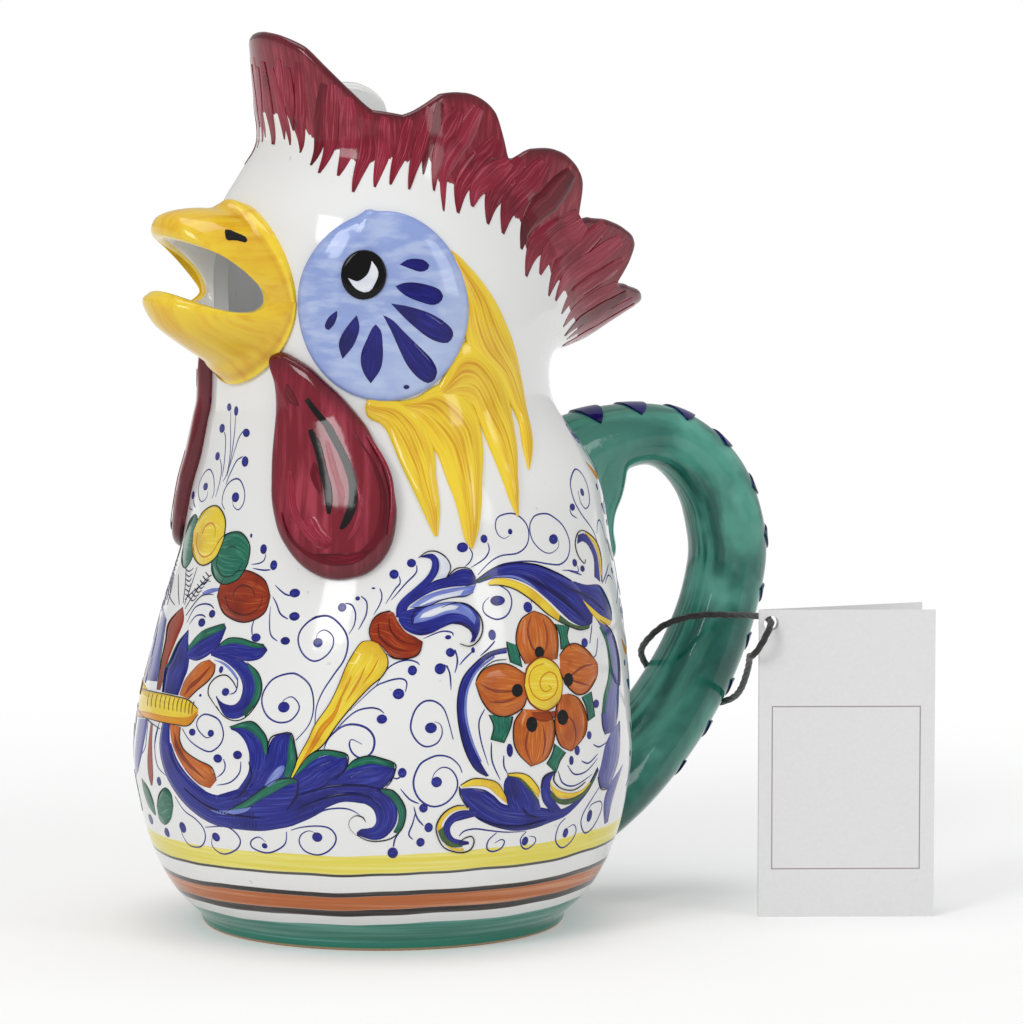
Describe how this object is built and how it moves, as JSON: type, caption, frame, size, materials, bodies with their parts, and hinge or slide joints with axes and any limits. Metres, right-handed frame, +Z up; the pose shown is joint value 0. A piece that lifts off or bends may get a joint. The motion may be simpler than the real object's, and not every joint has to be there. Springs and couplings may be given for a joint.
{
  "type": "chicken pitcher",
  "caption": "Glazed earthenware rooster pitcher: hollow belly and head, scalloped comb as filling mouth, open pouring beak, rear handle, and a folded swing tag tied to the handle by a cord.",
  "frame": {"origin": "centre of the round foot, on the flat face that the pitcher stands on", "axes": "+Z up along the vessel's axis, -X where the beak points and +X where the handle is, +Y the rooster's right side; the tag stands on the table on the -Y side"},
  "size_m": [0.2187, 0.1501, 0.254],
  "materials": {
    "glaze_white": "gloss",
    "glaze_crimson": "gloss",
    "glaze_yellow": "gloss",
    "glaze_sky": "gloss",
    "glaze_black": "gloss",
    "glaze_green": "gloss",
    "bare_clay": "matte",
    "card": "matte",
    "cord": "matte"
  },
  "bodies": {
    "pitcher": {"foot": "bare_clay", "belly": "glaze_white", "head": "glaze_white", "comb": "glaze_crimson", "beak_upper": "glaze_yellow", "beak_lower": "glaze_yellow", "eye_disc_left": "glaze_sky", "eye_disc_right": "glaze_sky", "eye_left": "glaze_black", "eye_right": "glaze_black", "wattle_left": "glaze_crimson", "wattle_right": "glaze_crimson", "neck_feathers_left": "glaze_yellow", "neck_feathers_right": "glaze_yellow", "handle": "glaze_green", "tag_front_leaf": "card", "tag_cord": "cord"},
    "tag_back": {"tag_back_leaf": "card"}
  },
  "joints": [
    {"name": "tag_fold", "type": "hinge", "parent": "pitcher", "child": "tag_back", "pos_m": [0.09335, -0.05289, 0.0445], "axis": [0, 0, 1], "range_deg": [-14, 20], "stiffness_Nm_per_rad": 0.002}
  ]
}
